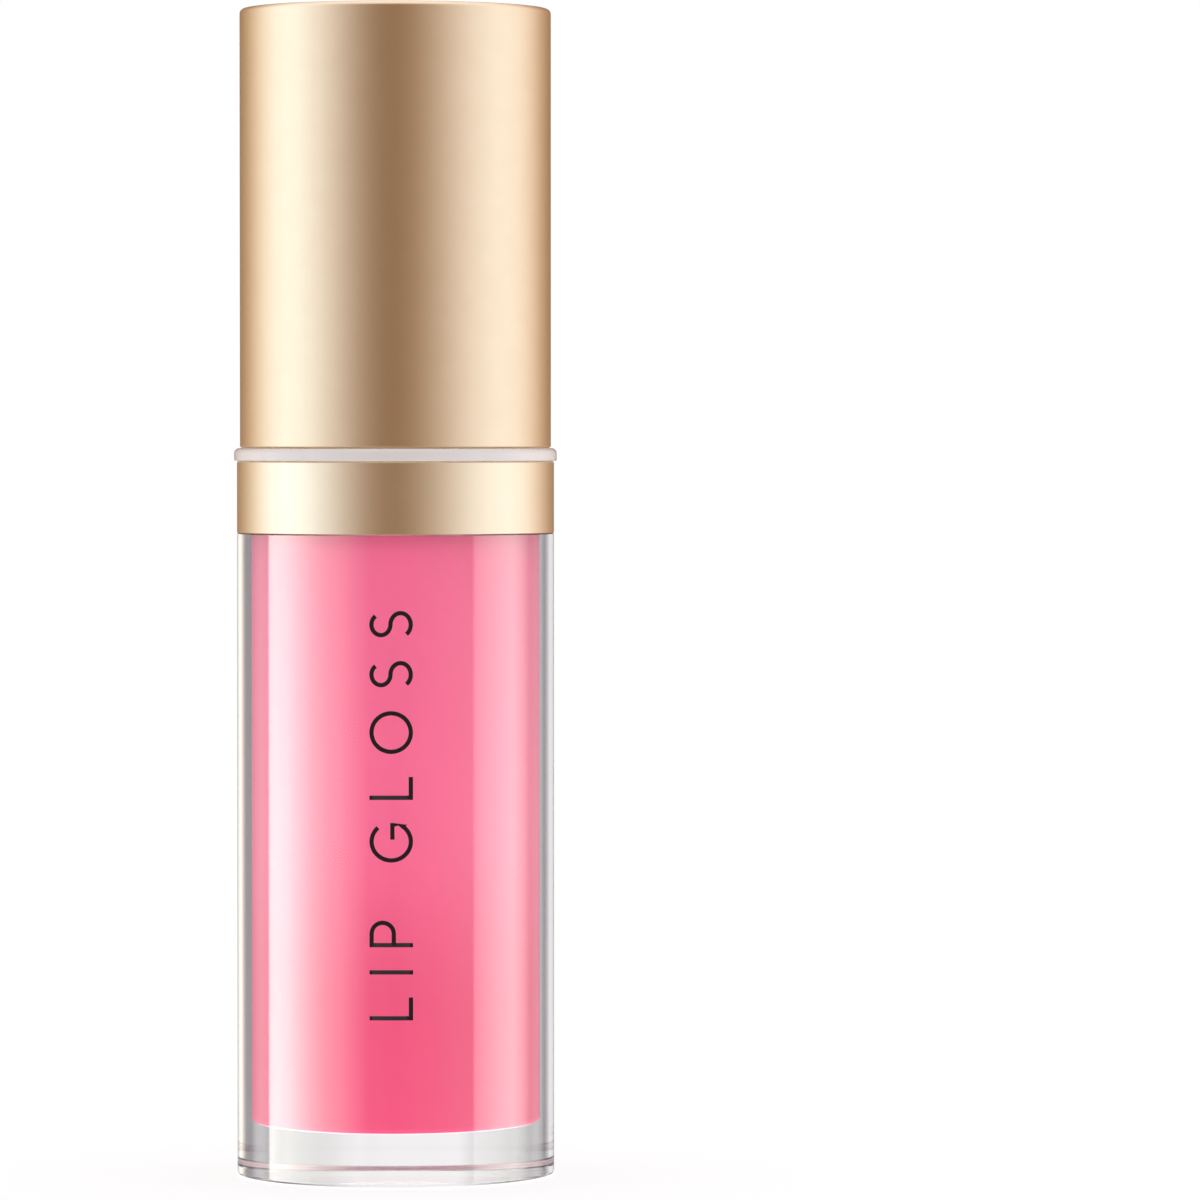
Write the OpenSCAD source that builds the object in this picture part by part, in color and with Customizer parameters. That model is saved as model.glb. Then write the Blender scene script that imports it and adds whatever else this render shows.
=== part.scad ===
// Lip gloss tube: a thick-walled clear bottle with a gold collar band, and a gold screw cap
// that carries the stem and its flocked applicator. Millimetres, +Z up, origin at the centre
// of the bottle's foot. The cap is drawn closed.

/* [Bottle] */
// Outside diameter of the clear bottle
bottle_d = 20.4; // [20.2:0.1:20.6]
// Height of the clear wall that shows below the collar band
wall_h = 41.3; // [40:0.1:44]
// Diameter of the bore that holds the gloss
bore_d = 12.4; // [12:0.1:13]
// Thickness of the clear base under the bore
base_h = 3.25; // [3:0.05:5]

/* [Collar and neck] */
// Height of the gold collar band
collar_h = 4.7; // [4:0.1:6]
// Diameter of the clear ring between the collar band and the cap
ring_d = 20.75; // [20.6:0.05:21]
// Thickness of the clear ring
ring_h = 0.8; // [0.7:0.1:1.2]
// Height of the threaded neck above the clear ring
neck_h = 11.1; // [10.5:0.1:12]
// Rise of the thread in one turn
thread_pitch = 2.4; // [2:0.1:2.6]

/* [Cap] */
// Outside diameter of the gold cap
cap_d = 20; // [19.8:0.1:20.2]
// Height of the gold cap
cap_h = 28.2; // [27:0.1:32]
// Wall thickness of the drawn aluminium shell
shell_t = 0.55; // [0.5:0.05:0.6]
// Height of the steel weight
weight_h = 5; // [3:0.5:5]

/* [Applicator] */
// Diameter of the stem
stem_d = 6.1; // [5.6:0.1:6.2]
// Gap between the applicator and the floor of the bore
tip_gap = 0.6; // [0.4:0.1:1]
// Thickness of the flock coat
flock_t = 0.45; // [0.3:0.05:0.6]

/* [Hidden] */
$fn = 96;

fit = 0.02;             // radial gap at a glued or pressed fit
run = 0.04;             // radial gap where one piece slides on another
eps = 0.1;              // overrun of a cutting shape

// Heights, from the foot up
collar_z = wall_h;
ring_z = collar_z + collar_h;
rim_z = ring_z + ring_h;           // rim of the cap on the clear ring
neck_z = rim_z + neck_h;           // top of the neck
cap_top_z = rim_z + cap_h;

// Bottle
foot_round = 0.35;
bore_round = 0.4;
dish_r = 6.5;                      // shallow dish under the foot
dish_h = 0.45;
collar_t = 0.7;
rebate_r = bottle_d / 2 - collar_t - fit;

// Neck insert and wiper
spigot_l = 3.6;                    // length of the neck insert inside the bore
neck_r = 6.6;
thread_h = 0.7;
thread_root_w = 1.3;
thread_crest_w = 0.6;
thread_sink = 0.15;                // how far the ridge is sunk into its wall
thread_turns = 2.25;
thread_z = rim_z + 2.1;
neck_bore_r = 5.2;
wiper_flange_h = 0.7;
wiper_flange_r = 6.4;
wiper_t = 0.7;
wiper_lip_t = 0.4;
wiper_sleeve_l = 9.5;
wiper_cone_l = 3;
orifice_r = stem_d / 2 + run;

// Cap
shell_top_t = 0.6;
shell_round = 0.3;
seal_h = 0.8;
seal_z = neck_z + wiper_flange_h;
web_z = seal_z + seal_h;           // underside of the inner cap's web
web_t = 1.6;
skirt_recess = 1.5;                // inner cap stands back from the rim
thread_crest_gap = 0.05;           // the crests just clear each other
skirt_crest_r = neck_r + thread_h + thread_crest_gap;
skirt_r = skirt_crest_r + 0.65;
skirt_t = 1;
shell_in_r = cap_d / 2 - shell_t;
rib_count = 24;
rib_w = 0.8;
socket_r = 4;
socket_l = 5.4;
stem_head_r = 2.4;
barb_r = 2.8;
barb_l = 1.1;

// Stem and applicator
tip_z = base_h + tip_gap;
tip_l = 14.8;
shoulder_z = tip_z + tip_l;        // end face of the stem
shoulder_chamfer = 0.45;
shank_r = 1.9;
shank_l = 6;
fill_z = ring_z - spigot_l - 0.4;  // level of the gloss
tip_clear_r = 4.3;                 // the gloss leaves this much room round the applicator

// Outline of the applicator, pointing down: [distance below the stem's end face,
// left edge, right edge, half thickness]
tip_outline = [
    [0.0, -2.50, 2.40, 2.40], [1.2, -2.60, 2.55, 2.50], [2.8, -2.80, 2.75, 2.60], [4.3, -3.20, 3.00, 2.75],
    [5.6, -3.60, 3.25, 2.90], [7.0, -3.85, 3.70, 2.95], [8.3, -3.95, 4.00, 2.90], [9.6, -4.00, 3.85, 2.80],
    [10.9, -3.95, 3.40, 2.60], [12.1, -3.80, 2.75, 2.30], [13.1, -3.50, 2.05, 1.90], [13.9, -3.00, 1.35, 1.40],
    [14.5, -2.30, 0.55, 0.85], [14.8, -1.40, -0.40, 0.35]
];
tip_sides = 24;

// Points of an arc about c, from angle a0 to a1, in n steps
function arc(c, r, a0, a1, n = 6) =
    [for (i = [0:n]) c + r * [cos(a0 + (a1 - a0) * i / n), sin(a0 + (a1 - a0) * i / n)]];

// Two triangles for each side of the wall between two rings of n points, whose first points are a and b
function wall_faces(a, b, n) =
    [for (k = [0:n - 1], t = [0, 1]) let (j = (k + 1) % n)
        t == 0 ? [a + k, a + j, b + j] : [a + k, b + j, b + k]];

function flipped(faces) = [for (f = faces) [f[2], f[1], f[0]]];

// Ridge of a screw thread between a wall and a crest radius, with both ends run out
module thread_ridge(wall_r, crest_r, z0, turns) {
    steps = ceil(turns * 30);
    run_out = 7;
    in = crest_r < wall_r;
    points = [for (i = [0:steps], k = [0:3]) let (
        a = 360 * turns * i / steps,
        z = z0 + thread_pitch * turns * i / steps,
        full = min(1, (i + 0.5) / run_out, (steps - i + 0.5) / run_out),
        crest = wall_r + (crest_r - wall_r) * full,
        root = wall_r + thread_sink * sign(wall_r - crest_r),
        root_half = thread_root_w / 2,
        crest_half = thread_crest_w / 2,
        inner = k == 0 || k == 3,
        r = inner ? min(root, crest) : max(root, crest),
        half = (inner == in) ? crest_half : root_half,
        side = k < 2 ? -1 : 1)
        [r * cos(a), r * sin(a), z + side * half]];
    faces = concat([[3, 2, 1], [3, 1, 0]],
        [for (i = [0:steps - 1], f = wall_faces(4 * i, 4 * (i + 1), 4)) f],
        [[4 * steps, 4 * steps + 1, 4 * steps + 2], [4 * steps, 4 * steps + 2, 4 * steps + 3]]);
    polyhedron(points, faces, convexity = 6);
}

// Rings of the applicator's outline, each side moved in by t
function tip_rings(t) =
    [for (s = tip_outline, k = [0:tip_sides - 1]) let (
        a = 360 * k / tip_sides,
        mid = (s[1] + s[2]) / 2,
        half_x = max(0.2, (s[2] - s[1]) / 2 - t),
        half_y = max(0.1, s[3] - t),
        z = shoulder_z - min(s[0], tip_l - t))
        [mid + half_x * cos(a), half_y * sin(a), z]];

// Side walls of those rings, whose first point is number first
function tip_walls(first) =
    [for (i = [0:len(tip_outline) - 2],
          f = wall_faces(first + tip_sides * i, first + tip_sides * (i + 1), tip_sides)) f];

function tip_lid(first) = [for (k = [1:tip_sides - 2]) [first, first + k, first + k + 1]];

module bottle() {
    r = bottle_d / 2;
    color([0.93, 0.93, 0.94, 0.4])
    difference() {
        rotate_extrude()
        polygon(concat([[0, 0]], arc([r - foot_round, foot_round], foot_round, -90, 0),
            [[r, collar_z], [rebate_r, collar_z], [rebate_r, ring_z], [0, ring_z]]));
        rotate_extrude()
        polygon(concat([[0, base_h]], arc([bore_d / 2 - bore_round, base_h + bore_round], bore_round, -90, 0),
            [[bore_d / 2, ring_z + eps], [0, ring_z + eps]]));
        dish_ball_r = (dish_r * dish_r + dish_h * dish_h) / (2 * dish_h);
        translate([0, 0, dish_h - dish_ball_r]) sphere(dish_ball_r);
    }
}

module collar_band() {
    r = bottle_d / 2;
    c = 0.1;
    color([0.85, 0.68, 0.46])
    rotate_extrude()
    polygon([[r - collar_t, collar_z], [r - c, collar_z], [r, collar_z + c], [r, ring_z - c],
        [r - c, ring_z], [r - collar_t, ring_z]]);
}

module neck_insert() {
    r = ring_d / 2;
    f = 0.3;                       // rounding of the ring's top edge
    c = 0.05;
    color([0.9, 0.88, 0.88, 0.6]) {
        difference() {
            union() {
                rotate_extrude()
                polygon(concat([[0, ring_z], [r - c, ring_z], [r, ring_z + c]],
                    arc([r - f, rim_z - f], f, 0, 90, 4),
                    [[neck_r, rim_z], [neck_r, neck_z - 0.3], [neck_r - 0.3, neck_z], [0, neck_z]]));
                translate([0, 0, ring_z - spigot_l]) cylinder(h = spigot_l + eps, r = bore_d / 2 - fit);
            }
            translate([0, 0, ring_z - spigot_l - eps])
            cylinder(h = spigot_l + ring_h + neck_h + 2 * eps, r = neck_bore_r);
        }
        thread_ridge(neck_r, neck_r + thread_h, thread_z, thread_turns);
    }
}

module wiper() {
    r_out = neck_bore_r - fit;
    r_in = r_out - wiper_t;
    cone_z = neck_z - wiper_sleeve_l;
    lip_z = cone_z - wiper_cone_l;
    color([0.95, 0.95, 0.93])
    rotate_extrude()
    polygon([[r_in + 0.3, neck_z + wiper_flange_h], [wiper_flange_r, neck_z + wiper_flange_h],
        [wiper_flange_r, neck_z], [r_out, neck_z], [r_out, cone_z],
        [orifice_r + wiper_lip_t, lip_z], [orifice_r, lip_z], [r_in, cone_z + 0.4],
        [r_in, neck_z + wiper_flange_h - 0.3]]);
}

module gloss_fill() {
    r = bore_d / 2 - fit;
    color([0.95, 0.36, 0.53])
    difference() {
        rotate_extrude()
        polygon(concat([[0, base_h + fit]], arc([r - bore_round, base_h + fit + bore_round], bore_round, -90, 0),
            [[r, fill_z], [0, fill_z]]));
        translate([0, 0, tip_z - tip_gap / 2])
        cylinder(h = tip_l + tip_gap / 2 + shoulder_chamfer, r = tip_clear_r);
        translate([0, 0, tip_z]) cylinder(h = fill_z, r = stem_d / 2 + run);
    }
}

module seal_ring() {
    color([0.96, 0.95, 0.92])
    difference() {
        translate([0, 0, seal_z]) cylinder(h = seal_h, r = wiper_flange_r);
        translate([0, 0, seal_z - eps]) cylinder(h = seal_h + 2 * eps, r = stem_d / 2 + 2 * run);
    }
}

module cap_weight() {
    r = skirt_r + skirt_t - 0.1;
    c = 0.3;
    z0 = web_z + web_t + fit;
    z1 = z0 + weight_h;
    color([0.62, 0.62, 0.64])
    rotate_extrude()
    polygon([[socket_r + 0.1, z0], [r - c, z0], [r, z0 + c], [r, z1 - c], [r - c, z1], [socket_r + 0.1, z1]]);
}

module cap_shell() {
    r = cap_d / 2;
    c = 0.12;
    color([0.85, 0.68, 0.46])
    rotate_extrude()
    polygon(concat([[shell_in_r + c, rim_z], [r - c, rim_z], [r, rim_z + c]],
        arc([r - shell_round, cap_top_z - shell_round], shell_round, 0, 90),
        [[0, cap_top_z], [0, cap_top_z - shell_top_t], [shell_in_r, cap_top_z - shell_top_t],
         [shell_in_r, rim_z + c]]));
}

module inner_cap() {
    r = skirt_r + skirt_t;
    skirt_z = rim_z + skirt_recess;
    color([0.94, 0.93, 0.91]) {
        difference() {
            union() {
                translate([0, 0, skirt_z]) cylinder(h = web_z + web_t - skirt_z, r = r);
                translate([0, 0, web_z + web_t - eps]) cylinder(h = socket_l + eps, r = socket_r);
                for (i = [0:rib_count - 1])
                    rotate([0, 0, 360 * i / rib_count])
                    translate([r - eps, -rib_w / 2, skirt_z + 0.6])
                    cube([shell_in_r - fit - 0.01 - r + eps, rib_w, web_z + web_t - skirt_z - 0.9]);
            }
            translate([0, 0, skirt_z - eps]) cylinder(h = web_z - skirt_z + eps, r = skirt_r);
            translate([0, 0, web_z - eps])
            cylinder(h = web_t + socket_l + 2 * eps, r = stem_head_r + fit);
        }
        thread_ridge(skirt_r, skirt_crest_r, thread_z + thread_pitch / 2, thread_turns - 0.5);
    }
}

module stem() {
    r = stem_d / 2;
    c = shoulder_chamfer;
    head_z = web_z + web_t + socket_l + fit;
    color([0.93, 0.92, 0.9])
    difference() {
        rotate_extrude()
        polygon([[0, shoulder_z], [r - c, shoulder_z], [r, shoulder_z + c], [r, web_z], [stem_head_r, web_z],
            [stem_head_r, head_z], [barb_r, head_z], [barb_r - 0.6, head_z + barb_l], [0, head_z + barb_l]]);
        translate([0, 0, shoulder_z - eps]) cylinder(h = shank_l + 0.5 + eps, r = shank_r + fit);
    }
}

module applicator_core() {
    first_end = tip_sides * (len(tip_outline) - 1);
    color([0.93, 0.72, 0.78]) {
        polyhedron(tip_rings(flock_t + fit),
            concat(tip_walls(0), flipped(tip_lid(0)), tip_lid(first_end)), convexity = 4);
        translate([0, 0, shoulder_z - eps]) cylinder(h = shank_l + eps, r = shank_r);
    }
}

module flock_coat() {
    n = tip_sides * len(tip_outline);
    last = n - tip_sides;
    color([0.98, 0.55, 0.7])
    polyhedron(concat(tip_rings(0), tip_rings(flock_t)),
        concat(tip_walls(0), tip_lid(last), flipped(tip_walls(n)), flipped(tip_lid(n + last)),
            wall_faces(n, 0, tip_sides)), convexity = 6);
}

bottle();
collar_band();
neck_insert();
wiper();
gloss_fill();
seal_ring();
cap_weight();
cap_shell();
inner_cap();
stem();
applicator_core();
flock_coat();
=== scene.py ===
"""A lip gloss tube: clear thick-walled bottle, gold collar band and gold screw cap on a pale studio floor."""

import math

import bpy
import numpy as np
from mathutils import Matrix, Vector


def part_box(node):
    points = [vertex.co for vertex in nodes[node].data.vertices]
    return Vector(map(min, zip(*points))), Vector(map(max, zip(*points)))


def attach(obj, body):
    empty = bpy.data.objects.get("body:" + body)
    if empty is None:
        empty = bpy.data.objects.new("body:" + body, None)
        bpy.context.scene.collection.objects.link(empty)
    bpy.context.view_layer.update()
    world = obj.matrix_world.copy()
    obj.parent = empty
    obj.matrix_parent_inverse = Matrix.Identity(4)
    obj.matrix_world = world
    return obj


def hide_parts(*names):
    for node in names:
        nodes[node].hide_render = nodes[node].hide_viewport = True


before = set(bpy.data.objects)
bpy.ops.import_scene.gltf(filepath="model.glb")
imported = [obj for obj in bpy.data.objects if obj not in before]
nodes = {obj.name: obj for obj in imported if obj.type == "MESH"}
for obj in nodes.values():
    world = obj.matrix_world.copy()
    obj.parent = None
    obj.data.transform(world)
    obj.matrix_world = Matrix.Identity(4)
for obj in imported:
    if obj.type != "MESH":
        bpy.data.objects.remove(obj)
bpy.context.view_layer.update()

MM = 0.001
scene = bpy.context.scene

# ---------------------------------------------------------------- sizes taken from the frame
bottle_low, bottle_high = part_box("bottle")
collar_low, collar_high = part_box("collar_band")
gloss_low, gloss_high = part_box("gloss_fill")
flock_low, flock_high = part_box("flock_coat")
stem_low, stem_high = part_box("stem")
shell_low, shell_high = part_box("cap_shell")

WALL_R = bottle_high.x                 # outside of the clear bottle
BORE_R = gloss_high.x + 0.02 * MM      # wall of the bore
EYE_Z = shell_low.z + 1.0 * MM         # the eye is just above the cap's rim


# ---------------------------------------------------------------- camera
CAMERA_FAR = 0.465                     # from the lens to the tube's axis
VIEW_WIDE = 77.25 * MM                 # width seen at that distance
TUBE_LEFT = 13.16 * MM                 # the tube stands this far left of the middle of the view
AIM_DROP = 10.77 * MM                  # the middle of the view lies this far below the eye


def make_camera():
    """A long lens at the height of the cap's rim, looking very slightly down."""
    camera = bpy.data.objects.new("camera", bpy.data.cameras.new("camera"))
    scene.collection.objects.link(camera)
    camera.data.sensor_width = 36.0
    camera.data.lens = camera.data.sensor_width * CAMERA_FAR / VIEW_WIDE
    camera.location = (TUBE_LEFT, -CAMERA_FAR, EYE_Z)
    aim = Vector((0.0, CAMERA_FAR, -AIM_DROP))
    camera.rotation_euler = aim.to_track_quat("-Z", "Y").to_euler()
    camera.data.clip_start, camera.data.clip_end = 0.01, 20.0
    scene.camera = camera


make_camera()
scene.view_settings.view_transform = "Standard"

# ---------------------------------------------------------------- studio light
# Each wall of the light tent is a list of (compass angle in degrees, radiance). Angle 0 is behind
# the camera, +90 is at the right and 180 is behind the tube. A wall runs evenly between its stops.

# What satin metal sees: a broad soft box at each side, with a warm dark gap in front and behind.
SATIN_WALL = [
    (-180, (0.12, 0.07, 0.04)), (-150, (0.29, 0.15, 0.06)), (-130, (0.62, 0.46, 0.28)),
    (-112, (1.07, 1.00, 0.96)), (-95, (1.17, 1.38, 1.55)), (-80, (1.17, 1.43, 1.60)),
    (-65, (1.10, 1.19, 1.32)), (-50, (0.86, 0.87, 0.90)), (-35, (0.60, 0.53, 0.50)),
    (-20, (0.34, 0.24, 0.16)), (-5, (0.20, 0.10, 0.05)), (10, (0.27, 0.16, 0.08)),
    (25, (0.43, 0.35, 0.27)), (40, (0.66, 0.58, 0.53)), (55, (0.89, 0.87, 0.89)),
    (70, (1.05, 1.09, 1.14)), (90, (1.13, 1.22, 1.32)), (105, (1.10, 1.13, 1.16)),
    (118, (0.98, 0.88, 0.82)), (130, (0.71, 0.54, 0.41)), (150, (0.33, 0.17, 0.08)),
    (180, (0.12, 0.07, 0.04)),
]
# What a polished face mirrors: a left box that fades towards the front, and a hard-edged right box.
MIRROR_WALL = [
    (-180, (0.3, 0.3, 0.3)), (-150, (0.4, 0.4, 0.38)), (-128, (1.1, 1.1, 1.05)),
    (-114, (2.7, 2.7, 2.6)), (-104.5, (2.9, 2.9, 2.75)), (-103, (9.4, 9.4, 8.7)),
    (-96, (11.9, 11.9, 11.0)), (-84, (12.3, 12.3, 11.3)), (-72, (10.0, 10.0, 9.2)),
    (-60, (6.8, 6.8, 6.2)), (-50, (4.8, 4.8, 4.4)), (-40, (3.6, 3.6, 3.3)),
    (-30, (2.0, 2.0, 1.9)), (-18, (0.5, 0.5, 0.5)), (0, (0.3, 0.3, 0.3)),
    (30, (0.7, 0.7, 0.7)), (59, (1.4, 1.4, 1.3)), (61, (4.0, 4.0, 3.8)),
    (70, (5.4, 5.4, 5.1)), (84, (6.8, 6.8, 6.4)), (96, (7.0, 7.0, 6.6)),
    (106, (4.4, 4.4, 4.1)), (116, (1.9, 1.9, 1.8)), (126, (1.8, 1.8, 1.7)),
    (138, (0.5, 0.5, 0.5)), (180, (0.3, 0.3, 0.3)),
]
# What shows through the clear plastic: a white backdrop that falls off into a dark flag at each side.
BACK_WALL = [
    (-180, (0.93, 0.91, 0.92)), (-163, (0.90, 0.88, 0.89)), (-156, (0.60, 0.59, 0.60)),
    (-145, (0.28, 0.27, 0.28)), (-129, (0.34, 0.33, 0.34)),
    (-122, (0.28, 0.26, 0.28)), (-117, (0.16, 0.14, 0.17)), (-113, (0.42, 0.38, 0.42)),
    (-108, (0.95, 0.90, 0.93)), (-100, (1.1, 1.05, 1.05)),
    (-66, (0.9, 0.9, 0.9)), (-60, (0.3, 0.29, 0.3)), (-30, (0.3, 0.29, 0.3)), (-22, (0.9, 0.9, 0.9)),
    (22, (0.9, 0.9, 0.9)), (30, (0.3, 0.29, 0.3)), (60, (0.3, 0.29, 0.3)), (66, (0.9, 0.9, 0.9)),
    (88, (1.0, 1.0, 1.0)),
    (102, (1.8, 1.7, 1.55)), (109, (1.8, 1.6, 1.4)), (113, (1.0, 0.84, 0.7)),
    (117, (0.30, 0.24, 0.22)), (120, (0.08, 0.06, 0.07)), (125, (0.09, 0.07, 0.10)),
    (132, (0.30, 0.28, 0.30)), (138, (0.30, 0.28, 0.30)), (147, (0.08, 0.07, 0.10)),
    (156, (0.30, 0.30, 0.32)), (166, (0.62, 0.61, 0.62)), (173, (0.88, 0.86, 0.87)),
    (180, (0.93, 0.91, 0.92)),
]
# What lights the matt pieces: an even glow, stronger at the sides.
FILL_WALL = [
    (-180, (1.2, 1.2, 1.2)), (-90, (1.8, 1.8, 1.8)), (-50, (1.3, 1.3, 1.3)), (-18, (0.7, 0.7, 0.7)),
    (14, (0.7, 0.7, 0.7)), (46, (1.3, 1.3, 1.3)), (90, (1.8, 1.8, 1.8)), (180, (1.2, 1.2, 1.2)),
]
# What lights matt pieces through the clear plastic: a broad light from the front and from below,
# made up for what the plastic traps.
INNER_WALL = [
    (-180, (0.9, 0.9, 0.9)), (-110, (0.95, 0.95, 0.95)), (-60, (1.65, 1.65, 1.65)),
    (-20, (1.97, 1.97, 1.97)), (20, (1.97, 1.97, 1.97)), (60, (1.65, 1.65, 1.65)),
    (110, (0.95, 0.95, 0.95)), (180, (0.9, 0.9, 0.9)),
]
TOP_LIGHT = (1.1, 1.1, 1.1)
BACKDROP = (1.0, 1.0, 1.0)
MIRRORED_FLOOR = (0.9, 0.9, 0.9)
# A way up or down is given as its z, from -1 straight down to 1 straight up.
OVERHEAD = (0.45, 0.8)                 # the top light comes in between these
UNDERFOOT = (-0.3, -0.6)               # the mirrored floor comes in between these
MIRROR_FADE = (0.1, 1.25, 0.75)        # reach of the horizon, share below it, share above it
INNER_FADE = (0.25, 1.6, 0.4)
# A small lamp low in front puts one glint on polished faces that lean down towards it.
GLINT = (45.0, 45.0, 45.0)
GLINT_WAY = (0.02, -0.79, -0.615)
GLINT_EDGE = (0.03, 0.13)              # it fades out between these distances from its middle
GLINT_SQUEEZE = 2.4                    # how much taller than wide it is


def map_range(tree, value, span, onto=(0.0, 1.0), smooth=False):
    """Maps value from one span on to another, and holds it at the ends."""
    step = tree.nodes.new("ShaderNodeMapRange")
    if smooth:
        step.interpolation_type = "SMOOTHSTEP"
    step.inputs["From Min"].default_value, step.inputs["From Max"].default_value = span
    step.inputs["To Min"].default_value, step.inputs["To Max"].default_value = onto
    tree.links.new(value, step.inputs["Value"])
    return step.outputs["Result"]


def math_step(tree, operation, *sides):
    """One sum on values; each side is a number or a socket."""
    step = tree.nodes.new("ShaderNodeMath")
    step.operation = operation
    for place, side in enumerate(sides):
        if isinstance(side, float):
            step.inputs[place].default_value = side
        else:
            tree.links.new(side, step.inputs[place])
    return step.outputs[0]


def vector_step(tree, operation, vector, other=None, result=0):
    """One sum on a vector, with a fixed vector where the sum needs a second one."""
    step = tree.nodes.new("ShaderNodeVectorMath")
    step.operation = operation
    if other is not None:
        step.inputs[1].default_value = other
    tree.links.new(vector, step.inputs[0])
    return step.outputs[result]


def scaled(tree, light, share):
    """The light times share, which is a number or a socket."""
    scale = tree.nodes.new("ShaderNodeVectorMath")
    scale.operation = "SCALE"
    tree.links.new(light, scale.inputs[0])
    if isinstance(share, float):
        scale.inputs["Scale"].default_value = share
    else:
        tree.links.new(share, scale.inputs["Scale"])
    return scale.outputs[0]


def make_wall(tree, turn, stops):
    """Radiance along the compass: a colour ramp, scaled back to its brightest stop."""
    peak = max(max(colour) for _, colour in stops)
    ramp = tree.nodes.new("ShaderNodeValToRGB")
    ramp.color_ramp.elements.remove(ramp.color_ramp.elements[1])
    for number, (degrees, colour) in enumerate(stops):
        place = (degrees + 180) / 360
        stop = ramp.color_ramp.elements[0] if number == 0 else ramp.color_ramp.elements.new(place)
        stop.position = place
        stop.color = (*[c / peak for c in colour], 1.0)
    tree.links.new(turn, ramp.inputs["Fac"])
    return scaled(tree, ramp.outputs["Color"], peak)


def choose(tree, when, otherwise, then):
    """The colour then where when is 1, and otherwise where it is 0."""
    mix = tree.nodes.new("ShaderNodeMix")
    mix.data_type = "RGBA"
    tree.links.new(when, mix.inputs["Factor"])
    tree.links.new(otherwise, mix.inputs["A"])
    if isinstance(then, tuple):
        mix.inputs["B"].default_value = (*then, 1.0)
    else:
        tree.links.new(then, mix.inputs["B"])
    return mix.outputs["Result"]


def fade_up(tree, height, light, reach, low, high):
    """Scales light by low well under the horizon and by high well over it."""
    return scaled(tree, light, map_range(tree, height, (-reach, reach), (low, high)))


def add_glint(tree, way, mirror):
    """Lays the small lamp over what a polished face mirrors."""
    squeezed = vector_step(tree, "MULTIPLY", way, (GLINT_SQUEEZE, 1.0, 1.0))
    middle = (GLINT_SQUEEZE * GLINT_WAY[0], GLINT_WAY[1], GLINT_WAY[2])
    off = vector_step(tree, "DISTANCE", squeezed, middle, "Value")
    return choose(tree, map_range(tree, off, GLINT_EDGE, (1.0, 0.0)), mirror, GLINT)


def make_world():
    """Light tent: its walls follow the compass, and an even top light closes it overhead.

    Satin, polished, clear and matt surfaces each see a wall of their own, as with flags and
    soft boxes set for each material in turn.
    """
    world = bpy.data.worlds.new("light_tent")
    scene.world = world
    world.use_nodes = True
    world.cycles.sampling_method = "NONE"
    tree = world.node_tree
    tree.nodes.clear()
    ray = tree.nodes.new("ShaderNodeLightPath").outputs
    way = tree.nodes.new("ShaderNodeTexCoord").outputs["Generated"]
    split = tree.nodes.new("ShaderNodeSeparateXYZ")
    tree.links.new(way, split.inputs[0])
    up = split.outputs["Z"]
    front = math_step(tree, "MULTIPLY", split.outputs["Y"], -1.0)
    angle = math_step(tree, "ARCTAN2", split.outputs["X"], front)
    compass = map_range(tree, angle, (-math.pi, math.pi))

    fill, satin, mirror, back, inner = (
        make_wall(tree, compass, stops)
        for stops in (FILL_WALL, SATIN_WALL, MIRROR_WALL, BACK_WALL, INNER_WALL))
    inner = fade_up(tree, up, inner, *INNER_FADE)
    mirror = fade_up(tree, up, mirror, *MIRROR_FADE)
    mirror = choose(tree, map_range(tree, up, UNDERFOOT), mirror, MIRRORED_FLOOR)
    mirror = add_glint(tree, way, mirror)
    overhead = map_range(tree, up, OVERHEAD, smooth=True)

    light = choose(tree, ray["Is Glossy Ray"], fill, satin)
    light = choose(tree, ray["Is Singular Ray"], light, mirror)
    light = choose(tree, ray["Is Transmission Ray"], light, back)
    light = choose(tree, overhead, light, TOP_LIGHT)
    on_matt = choose(tree, overhead, fill, TOP_LIGHT)
    on_matt = choose(tree, ray["Is Transmission Ray"], on_matt, inner)
    light = choose(tree, math_step(tree, "GREATER_THAN", ray["Diffuse Depth"], 0.5), light, on_matt)
    light = choose(tree, ray["Is Camera Ray"], light, BACKDROP)
    glow = tree.nodes.new("ShaderNodeBackground")
    tree.links.new(light, glow.inputs["Color"])
    out = tree.nodes.new("ShaderNodeOutputWorld")
    tree.links.new(glow.outputs[0], out.inputs["Surface"])


make_world()


# ---------------------------------------------------------------- materials
def material(name, colour, roughness, **sockets):
    """A Principled material with its even values set on the shader's own sockets."""
    made = bpy.data.materials.new(name)
    made.use_nodes = True
    shader = made.node_tree.nodes["Principled BSDF"]
    shader.inputs["Base Color"].default_value = (*colour, 1.0)
    shader.inputs["Roughness"].default_value = roughness
    for socket, value in sockets.items():
        shader.inputs[socket.replace("_", " ")].default_value = value
    return made


def noise(made, scale, detail=2.0, stretch=(1.0, 1.0, 1.0)):
    """Fractal noise on Object coordinates, scale in cells per metre."""
    tree = made.node_tree
    where = tree.nodes.new("ShaderNodeTexCoord")
    place = tree.nodes.new("ShaderNodeMapping")
    place.inputs["Scale"].default_value = stretch
    grain = tree.nodes.new("ShaderNodeTexNoise")
    grain.inputs["Scale"].default_value = scale
    grain.inputs["Detail"].default_value = detail
    tree.links.new(where.outputs["Object"], place.inputs["Vector"])
    tree.links.new(place.outputs["Vector"], grain.inputs["Vector"])
    return grain.outputs["Fac"]


def spread(made, value, low, high):
    """Maps a 0.3 to 0.7 noise value on to the range from low to high."""
    return map_range(made.node_tree, value, (0.3, 0.7), (low, high))


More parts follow.
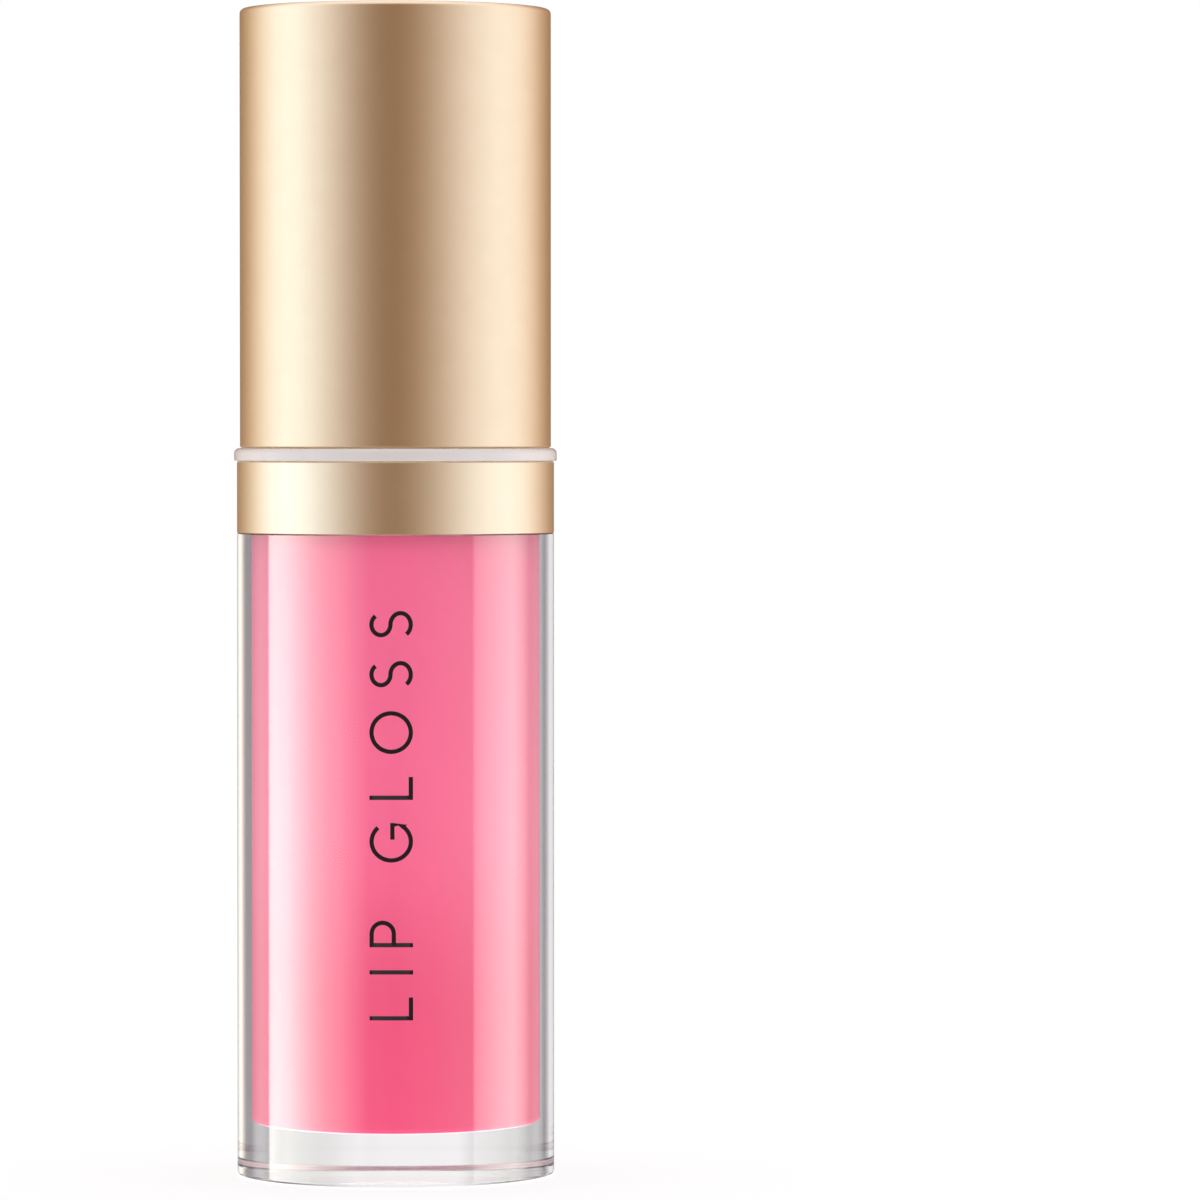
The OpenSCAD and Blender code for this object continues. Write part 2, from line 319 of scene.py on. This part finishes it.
def tint(made, value, dark, light):
    """Base colour that runs from dark to light with value."""
    mix = made.node_tree.nodes.new("ShaderNodeMix")
    mix.data_type = "RGBA"
    mix.inputs["A"].default_value = (*dark, 1.0)
    mix.inputs["B"].default_value = (*light, 1.0)
    shader = made.node_tree.nodes["Principled BSDF"]
    made.node_tree.links.new(value, mix.inputs["Factor"])
    made.node_tree.links.new(mix.outputs["Result"], shader.inputs["Base Color"])


def overlay(made, share, colour):
    """Lays colour over the base colour where share is 1."""
    tree = made.node_tree
    base = tree.nodes["Principled BSDF"].inputs["Base Color"]
    tree.links.new(choose(tree, share, base.links[0].from_socket, colour), base)


def stored(made, name):
    """A value kept with the points of the mesh."""
    kept = made.node_tree.nodes.new("ShaderNodeAttribute")
    kept.attribute_name = name
    return kept.outputs["Fac"]


def roughen(made, value):
    """Roughness that follows value."""
    shader = made.node_tree.nodes["Principled BSDF"]
    made.node_tree.links.new(value, shader.inputs["Roughness"])


def bump(made, value, depth, strength=1.0):
    """Fine relief of the given depth in metres."""
    relief = made.node_tree.nodes.new("ShaderNodeBump")
    relief.inputs["Distance"].default_value = depth
    relief.inputs["Strength"].default_value = strength
    shader = made.node_tree.nodes["Principled BSDF"]
    made.node_tree.links.new(value, relief.inputs["Height"])
    made.node_tree.links.new(relief.outputs["Normal"], shader.inputs["Normal"])


def height_share(made, low_z, high_z):
    """0 at height low_z and 1 at height high_z, on Object coordinates."""
    tree = made.node_tree
    split = tree.nodes.new("ShaderNodeSeparateXYZ")
    tree.links.new(tree.nodes.new("ShaderNodeTexCoord").outputs["Object"], split.inputs[0])
    return map_range(tree, split.outputs["Z"], (low_z, high_z), smooth=True)


def satin_gold(name, dark, light):
    """Anodised aluminium with a fine bead-blasted grain."""
    made = material(name, light, 0.35, Metallic=1.0)
    grain = noise(made, 9000.0, 3.0)
    tint(made, spread(made, noise(made, 700.0), 0.0, 1.0), dark, light)
    roughen(made, spread(made, grain, 0.33, 0.37))
    bump(made, grain, 0.002 * MM, 0.4)
    return made


CLEAR, FROST = (0.985, 0.98, 0.985), (0.90, 0.96, 0.95)
FROST_REACH = (WALL_R - 0.36 * MM, WALL_R - 0.40 * MM)   # from the tube's axis
FROST_TOP = (0.13 * MM, 0.18 * MM)
FROST_ROUGH = 0.7


def clear_plastic():
    """Polished thick-walled copolyester, with a white frosted round along the foot."""
    made = material("clear_plastic", CLEAR, 0.0, IOR=1.49, Transmission_Weight=1.0)
    tree = made.node_tree
    where = tree.nodes.new("ShaderNodeTexCoord").outputs["Object"]
    flat = vector_step(tree, "MULTIPLY", where, (1.0, 1.0, 0.0))
    reach = vector_step(tree, "LENGTH", flat, result="Value")
    clear = math_step(tree, "MAXIMUM", map_range(tree, reach, FROST_REACH), height_share(made, *FROST_TOP))
    tree.links.new(clear, tree.nodes["Principled BSDF"].inputs["Transmission Weight"])
    roughen(made, map_range(tree, clear, (0.0, 1.0), (FROST_ROUGH, 0.0)))
    tint(made, clear, FROST, CLEAR)
    return made


def frosted_plastic():
    """Clear plastic with a milky haze, as on the neck."""
    made = material("frosted_plastic", (0.80, 0.76, 0.76), 0.12, IOR=1.49, Transmission_Weight=0.3)
    tint(made, spread(made, noise(made, 900.0), 0.0, 1.0), (0.87, 0.80, 0.785), (0.90, 0.83, 0.815))
    return made


def pink_gloss():
    """Pink gel with painted shade, deeper towards the bottom of the bore and paler at the top. Its face on
    the bore's floor is painted pale, so that the clear foot under it mirrors and takes pale light rather than
    pink.
    """
    made = material("pink_gloss", (0.93, 0.15, 0.29), 0.2, Specular_IOR_Level=0.0)
    # Painted shade: the gel is made darker towards the bottom of the bore and paler towards the top; the gel
    # itself is one colour.
    tint(made, height_share(made, 9 * MM, 24 * MM), (0.84, 0.092, 0.208), (0.93, 0.158, 0.305))
    # Painted reflection and bounce: the gel's face on the bore's floor is made pale, so the clear foot under
    # it mirrors it and takes light from it pale instead of pink.
    painted_pale_floor_face = height_share(made, gloss_low.z + 0.06 * MM, gloss_low.z + 0.01 * MM)
    overlay(made, painted_pale_floor_face, (0.92, 0.86, 0.87))
    return made


def wet_gel():
    """The same gel as it clings to the applicator, with a wet skin; paler where it thins out."""
    made = material("wet_gel", (0.98, 0.19, 0.40), 0.0, IOR=1.4, Specular_IOR_Level=0.2,
                    Subsurface_Weight=0.6, Subsurface_Scale=0.0012)
    made.node_tree.nodes["Principled BSDF"].inputs["Subsurface Radius"].default_value = (1.0, 0.35, 0.5)
    tint(made, spread(made, noise(made, 420.0, 3.0), 0.0, 1.0), (0.99, 0.17, 0.38), (0.99, 0.20, 0.41))
    thin = math_step(made.node_tree, "SUBTRACT", 1.0, stored(made, "soak"))
    overlay(made, thin, (0.96, 0.36, 0.56))
    return made


def wet_flock():
    """Short fibres soaked in gloss: paler clumps over a pink ground, deeper near the gel and the root."""
    made = material("wet_flock", (0.93, 0.42, 0.60), 0.55, Subsurface_Weight=0.3,
                    Subsurface_Scale=0.0005, Sheen_Weight=0.08, Sheen_Roughness=0.4)
    clump = noise(made, 1100.0, 5.0)
    tint(made, spread(made, clump, 0.0, 1.0), (0.95, 0.28, 0.48), (0.96, 0.36, 0.555))
    bump(made, noise(made, 9000.0, 3.0), 0.03 * MM, 0.6)
    overlay(made, stored(made, "soak"), (0.98, 0.19, 0.41))
    overlay(made, height_share(made, stem_low.z - 1.0 * MM, stem_low.z - 0.5 * MM), (0.92, 0.25, 0.43))
    return made


def white_plastic(name, colour, roughness):
    """Moulded polypropylene with a soft satin skin."""
    made = material(name, colour, roughness, Subsurface_Weight=0.1, Subsurface_Scale=0.0005,
                    Specular_IOR_Level=1.0)
    roughen(made, spread(made, noise(made, 500.0), roughness - 0.02, roughness + 0.02))
    return made


def turned_steel():
    """Bare steel with fine turning marks round it."""
    made = material("turned_steel", (0.62, 0.62, 0.64), 0.3, Metallic=1.0)
    roughen(made, spread(made, noise(made, 4000.0, 2.0, (1.0, 1.0, 0.1)), 0.22, 0.38))
    return made


def black_ink():
    """Screen-printed ink, nearly matt."""
    made = material("black_ink", (0.012, 0.010, 0.011), 0.4, Specular_IOR_Level=0.15)
    roughen(made, spread(made, noise(made, 6000.0), 0.4, 0.5))
    return made


def wear(node, made):
    """Gives one of the frame's own parts its material."""
    for slot in nodes[node].material_slots:
        slot.material = made


wear("cap_shell", satin_gold("satin_gold", (0.92, 0.73, 0.52), (0.94, 0.75, 0.54)))
wear("collar_band", satin_gold("pale_gold", (0.98, 0.83, 0.62), (1.0, 0.84, 0.64)))
wear("bottle", clear_plastic())
wear("neck_insert", frosted_plastic())
wear("wiper", white_plastic("wiper_plastic", (0.74, 0.73, 0.71), 0.4))
wear("seal_ring", white_plastic("seal_foam", (0.74, 0.73, 0.70), 0.7))
wear("cap_weight", turned_steel())
wear("inner_cap", white_plastic("inner_plastic", (0.70, 0.68, 0.66), 0.4))
wear("stem", white_plastic("stem_plastic", (0.60, 0.58, 0.563), 0.25))
wear("applicator_core", material("core_elastomer", (0.85, 0.45, 0.55), 0.5))


# ---------------------------------------------------------------- pieces
def shell_faces(rows, columns):
    """Faces of a closed surface: rings of points from the lowest up, then a low and a high pole."""
    faces = []
    low, high = rows * columns, rows * columns + 1
    for column in range(columns):
        after = (column + 1) % columns
        faces.append((low, after, column))
        top = (rows - 1) * columns
        faces.append((high, top + column, top + after))
        for row in range(rows - 1):
            here, above = row * columns, (row + 1) * columns
            faces.append((here + column, here + after, above + after, above + column))
    return faces


def mesh_piece(name, points, faces, body, made, smooth=True):
    """Makes a mesh object at the origin and gives it its body and material."""
    mesh = bpy.data.meshes.new(name)
    mesh.from_pydata(np.asarray(points).tolist(), [], [tuple(int(i) for i in f) for f in faces])
    mesh.polygons.foreach_set("use_smooth", np.full(len(mesh.polygons), smooth))
    mesh.materials.append(made)
    mesh.update()
    piece = bpy.data.objects.new(name, mesh)
    scene.collection.objects.link(piece)
    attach(piece, body)
    return piece


def make_gloss_column():
    """The gloss in the bore: a turned profile a hair wider than the bore, so that it wets the wall."""
    wet = 0.01 * MM
    r = BORE_R + wet
    floor_z = gloss_low.z - 0.02 * MM - wet
    corner = 0.4 * MM
    bend = np.linspace(-np.pi / 2, 0, 7)
    profile = [(share * (r - corner), floor_z) for share in (0.33, 0.66)]
    profile += [(r - corner + corner * np.cos(b), floor_z + corner + corner * np.sin(b)) for b in bend]
    profile += [(r, z) for z in np.linspace(floor_z + 2 * corner, gloss_high.z - 0.1 * MM, 24)]
    profile += [(share * r, gloss_high.z) for share in (0.98, 0.66, 0.33)]
    radius, z = np.array(profile).T
    columns = 128
    turn = np.linspace(0, 2 * np.pi, columns, endpoint=False)
    rings = np.stack([radius[:, None] * np.cos(turn), radius[:, None] * np.sin(turn),
                      np.repeat(z[:, None], columns, axis=1)], axis=-1).reshape(-1, 3)
    points = np.vstack([rings, [(0, 0, floor_z), (0, 0, gloss_high.z)]])
    piece = mesh_piece("gloss_column", points, shell_faces(len(profile), columns),
                       "bottle", pink_gloss())
    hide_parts("gloss_fill")


make_gloss_column()


# ---------------------------------------------------------------- applicator
# Outline of the applicator in mm: [distance below the stem's end, left edge, right edge, half depth]
TIP_LENGTH = 14.8
TIP_OUTLINE = np.array([
    (14.8, -1.00, -1.00, 0.00), (14.6, -2.05, 0.05, 0.90), (14.2, -2.80, 0.90, 1.40),
    (13.4, -3.42, 1.82, 1.88), (12.4, -3.84, 2.60, 2.25), (11.4, -4.02, 3.15, 2.52),
    (10.4, -4.08, 3.52, 2.70), (9.1, -4.06, 3.84, 2.85), (7.6, -3.95, 3.94, 2.92),
    (6.7, -3.88, 3.70, 2.92), (5.9, -3.74, 3.40, 2.90), (5.0, -3.45, 3.20, 2.82),
    (4.0, -3.15, 3.02, 2.72), (2.6, -2.85, 2.88, 2.60), (1.3, -2.70, 2.70, 2.52),
    (0.0, -2.68, 2.60, 2.48),
])
TIP_TOP = stem_low.z
TIP_LONG = flock_high.z - flock_low.z
# Where the wet gel ends: [sideways place, distance below the stem's end], in mm
WET_EDGE = np.array([(-4.2, 11.4), (-2.6, 10.3), (-1.6, 8.9), (-1.0, 7.6), (-0.2, 6.4), (1.0, 6.0),
                     (2.5, 5.8), (4.2, 5.8)])


def ripple(x, y, z, size, seed):
    """Smooth random relief between about -1 and 1: a sum of slanted sine waves size mm long."""
    rng = np.random.default_rng(seed)
    total = np.zeros_like(x)
    for _ in range(14):
        way = rng.normal(size=3)
        way /= np.linalg.norm(way)
        wave = 2 * np.pi / (size * rng.uniform(0.7, 1.5))
        total += np.sin(wave * (way[0] * x + way[1] * y + way[2] * z) + rng.uniform(0, 2 * np.pi))
    return total / 3.8


def tip_surface(rows, columns, swell):
    """Rings of the applicator from its point up. swell(x, y, d) is the growth of the skin in mm.

    The rows are even in the square root of the distance from the point, so the end comes out round.
    """
    root = np.linspace(0.03, np.sqrt(TIP_LENGTH), rows)
    outline = np.sqrt(TIP_LENGTH - TIP_OUTLINE[:, 0])
    left, right, deep = (np.interp(root, outline, TIP_OUTLINE[:, i]) for i in (1, 2, 3))
    ease = np.hanning(rows // 12 + 2)[1:-1]
    ease /= ease.sum()
    edge = len(ease) // 2
    for v in (left, right, deep):
        tail = np.pad(v, (0, edge), mode="edge")
        nose = 2 * v[0] - v[edge:0:-1]
        v[:] = np.convolve(np.concatenate([nose, tail]), ease, "same")[edge:edge + rows]
    turn = np.linspace(0, 2 * np.pi, columns, endpoint=False)
    mid, half = (left + right) / 2, (right - left) / 2
    across, along = np.cos(turn)[None, :], np.sin(turn)[None, :]
    x = mid[:, None] + half[:, None] * across
    y = deep[:, None] * along
    d = np.repeat((TIP_LENGTH - root ** 2)[:, None], columns, axis=1)
    round_end = np.clip((half / 2.0) ** 0.5, 0, 1)[:, None]
    grow = swell(x, y, d)
    x = x + grow * across * round_end
    y = y + grow * along * round_end
    z = TIP_TOP / MM - (d + grow * (1 - round_end)) * (TIP_LONG / MM) / TIP_LENGTH
    rings = np.stack([x, y, z], axis=-1).reshape(-1, 3)
    poles = [(x[0].mean(), 0.0, z[0].min()), (mid[-1], 0.0, z[-1].max())]
    return np.vstack([rings, poles]) * MM


def gel_depth(x, y, d):
    """How far inside the edge of the wet gel a place lies, in mm."""
    edge = np.interp(x, WET_EDGE[:, 0], WET_EDGE[:, 1])
    return d - edge + 0.3 * ripple(x, y, d, 2.0, 5) + 0.05 * ripple(x, y, d, 0.8, 6)


def wet_share(x, y, d):
    """0 on the bare flock and 1 well inside the wet gel."""
    return 1 / (1 + np.exp(-3.0 * gel_depth(x, y, d)))


def keep_soak(piece):
    """Keeps with each point how far the gel has soaked in, from 0 to 1."""
    points = np.array([tuple(v.co) for v in piece.data.vertices]) / MM
    x, y = points[:, 0], points[:, 1]
    d = (TIP_TOP / MM - points[:, 2]) * TIP_LENGTH / (TIP_LONG / MM)
    share = np.clip((gel_depth(x, y, d) + 2.3) / 2.6, 0, 1)
    share = share * share * (3 - 2 * share) * (1 - 0.35 * np.clip((-x - 0.8) / 2.4, 0, 1))
    soak = piece.data.attributes.new("soak", "FLOAT", "POINT")
    soak.data.foreach_set("value", share)


def make_flock_pad():
    """Flocked pad: fine tufts, standing out as a comb along its left edge."""
    def swell(x, y, d):
        lefty = np.clip(0.45 - x / 3.6, 0, 1)
        bare = 1 - wet_share(x, y, d)
        under_root, over_tip = np.clip((d - 1.2) / 1.5, 0, 1), np.clip((12.6 - d) / 1.2, 0, 1)
        comb = np.clip(-x / 3.1, 0, 1) ** 4 * under_root * over_tip
        tuft = np.abs(np.sin(np.pi * (d + 0.1 * np.sin(2.4 * y) + 0.05 * ripple(x, y, d, 2.5, 7)) / 0.4))
        fine = 0.03 * ripple(x, y, d, 0.35, 1) + 0.035 * ripple(x, y, d, 0.8, 2)
        return -0.12 - 0.06 * (1 - bare) + comb * (0.13 * tuft - 0.01) + bare * (0.3 + 0.7 * lefty) * fine

    rows, columns = 380, 220
    piece = mesh_piece("flock_pad", tip_surface(rows, columns, swell), shell_faces(rows, columns),
                       "cap", wet_flock())
    keep_soak(piece)
    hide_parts("flock_coat")


def make_gel_coat():
    """The gel the applicator carries: it swells over the full side and thins out into the flock."""
    def swell(x, y, d):
        return -0.3 + 0.3 * wet_share(x, y, d) + 0.015 * np.clip(ripple(x, y, d, 3.5, 3), -1, 1)

    rows, columns = 260, 180
    piece = mesh_piece("gel_coat", tip_surface(rows, columns, swell), shell_faces(rows, columns),
                       "cap", wet_gel())
    keep_soak(piece)


make_flock_pad()
make_gel_coat()


# ---------------------------------------------------------------- lettering
LETTER_HIGH = 2.75                      # capital height, mm
LETTER_BOLD = 0.27                      # stroke width, mm
LETTER_GAP = 1.45                       # space between letters, mm
WORD_GAP = 3.7                          # space between the words, mm
WORDS_MID = 23.65                       # height of the middle of the two words, mm
INK_SUNK, INK_PROUD = 0.004, 0.02       # how far the ink lies in and stands out of the wall, mm


def bow(x, y, rx, ry, start, end, steps=28):
    """Points of an elliptic arc about (x, y), from the start to the end angle in degrees."""
    t = np.radians(np.linspace(start, end, steps))
    return [(x + rx * np.cos(a), y + ry * np.sin(a)) for a in t]


def letter(which):
    """Width of a plain capital, and its strokes as (points, closed), in mm."""
    h, b = LETTER_HIGH, LETTER_BOLD / 2
    if which == "L":
        return 1.45, [([(b, h), (b, b), (1.45, b)], False)]
    if which == "I":
        return 2 * b, [([(b, h), (b, 0)], False)]
    if which == "P":
        bowl = [(b, h - b)] + bow(0.85, h - b - 0.7, 0.7, 0.7, 90, -90) + [(b, h - b - 1.4)]
        return 1.65, [([(b, 0), (b, h)], False), (bowl, False)]
    if which == "O":
        return 2.7, [(bow(1.35, h / 2, 1.35 - b, h / 2 - b, 0, 360, 65)[:-1], True)]
    if which == "G":
        ring = bow(1.32, h / 2, 1.32 - b, h / 2 - b, 42, 330, 50)
        return 2.5, [(ring + [(2.5 - b, 0.62), (2.5 - b, 1.3)], False), ([(1.45, 1.3), (2.5, 1.3)], False)]
    high, low = (h - b - (h / 2 + 0.04)) / 2, (h / 2 + 0.04 - b) / 2
    top = bow(0.85, h - b - high, 0.66, high, 35, 270, 30)
    bottom = bow(0.85, b + low, 0.73, low, 90, -145, 30)
    return 1.7, [(top + bottom[1:], False)]


def stroke_mesh(path, closed, put, first):
    """A flat bar swept along a path with mitred corners. put(s, t, up) places a point of it."""
    path = np.array(path, float)
    ahead = np.roll(path, -1, axis=0) - path
    if not closed:
        ahead[-1] = ahead[-2]
    ahead /= np.linalg.norm(ahead, axis=1)[:, None]
    behind = np.roll(ahead, 1, axis=0)
    if not closed:
        behind[0] = ahead[0]
    way = ahead + behind
    way /= np.linalg.norm(way, axis=1)[:, None]
    side = np.stack([-way[:, 1], way[:, 0]], axis=1)
    side *= (LETTER_BOLD / 2 / np.clip((way * ahead).sum(axis=1), 0.5, 1))[:, None]
    points = []
    for at, out in zip(path, side):
        for edge, up in ((1, 0), (-1, 0), (-1, 1), (1, 1)):
            points.append(put(at[0] + edge * out[0], at[1] + edge * out[1], up))
    count, faces = len(path), []
    for i in range(count if closed else count - 1):
        here, there = first + 4 * i, first + 4 * ((i + 1) % count)
        faces += [(here + k, there + k, there + (k + 1) % 4, here + (k + 1) % 4) for k in range(4)]
    if not closed:
        last = first + 4 * (count - 1)
        faces += [(first, first + 1, first + 2, first + 3), (last + 3, last + 2, last + 1, last)]
    return points, faces


def make_lettering():
    """The words LIP GLOSS in black, printed up the front of the bottle."""
    wall = WALL_R / MM

    def put(s, t, up):
        angle = (LETTER_HIGH / 2 - t) / wall
        r = wall + (INK_PROUD if up else INK_SUNK)
        return (r * math.sin(angle) * MM, -r * math.cos(angle) * MM, s * MM)

    points, faces = [], []
    words = "LIP GLOSS"
    widths = [0.0 if c == " " else letter(c)[0] for c in words]
    gaps = sum(len(word) - 1 for word in words.split())
    long = sum(widths) + LETTER_GAP * gaps + WORD_GAP
    at = WORDS_MID - long / 2
    for c in words:
        if c == " ":
            at += WORD_GAP - LETTER_GAP
            continue
        width, strokes = letter(c)
        for path, closed in strokes:
            more, bars = stroke_mesh([(at + x, y) for x, y in path], closed, put, len(points))
            points += more
            faces += bars
        at += width + LETTER_GAP
    mesh_piece("lettering", points, faces, "bottle", black_ink(), smooth=False)


make_lettering()


def make_floor():
    """A pale floor a hair under the foot: it takes shadows, but is mirrored nowhere and lights nothing."""
    half, z = 3.0, -0.02 * MM
    mesh = bpy.data.meshes.new("studio_floor")
    mesh.from_pydata([(-half, -half, z), (half, -half, z), (half, half, z), (-half, half, z)],
                     [], [(0, 1, 2, 3)])
    floor = bpy.data.objects.new("studio_floor", mesh)
    scene.collection.objects.link(floor)
    mesh.materials.append(material("pale_floor", (0.22, 0.22, 0.22), 0.9, Specular_IOR_Level=0.0,
                                   Emission_Color=(1.0, 1.0, 1.0, 1.0), Emission_Strength=0.76))
    floor.visible_diffuse = False
    floor.visible_glossy = False
    floor.visible_transmission = False


make_floor()
